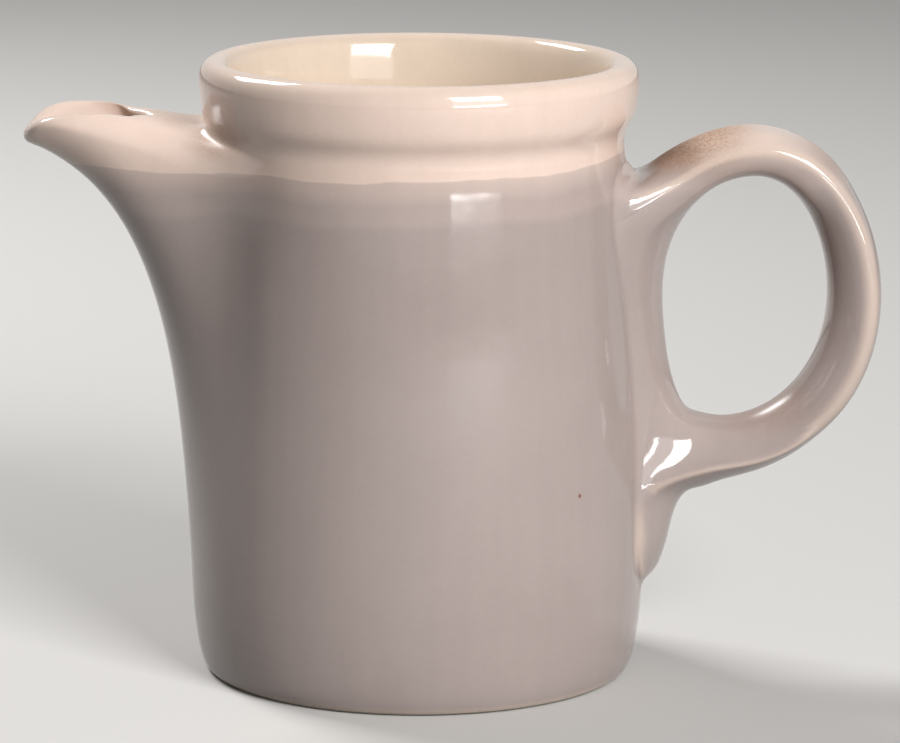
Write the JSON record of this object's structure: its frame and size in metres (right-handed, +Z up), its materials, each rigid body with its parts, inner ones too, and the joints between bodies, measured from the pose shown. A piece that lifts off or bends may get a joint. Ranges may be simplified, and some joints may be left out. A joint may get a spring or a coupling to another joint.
{
  "type": "creamer",
  "caption": "Small glazed stoneware jug with a rolled collar, a beak spout on a long keel and a closed loop handle with a tail, for pouring cream or milk.",
  "frame": {"origin": "on the table plane, under the middle of the whole length from spout tip to handle", "axes": "+Z up out of the mouth, +X towards the handle, -X towards the spout"},
  "size_m": [0.1354, 0.073, 0.0984],
  "materials": {
    "grey_glaze": "warm grey glaze, glossy",
    "pink_glaze": "pale pink glaze, glossy, breaking tan on edges",
    "bare_clay": "unglazed where it stands",
    "joint_slip": "fired slip inside the joints"
  },
  "bodies": {
    "root": {"body": "grey_glaze", "foot_ring": "bare_clay", "foot_slip": "joint_slip", "rim_collar": "pink_glaze", "collar_slip": "joint_slip", "spout": "pink_glaze", "spout_slip": "joint_slip", "handle": "pink_glaze", "handle_slip": "joint_slip"}
  },
  "joints": []
}
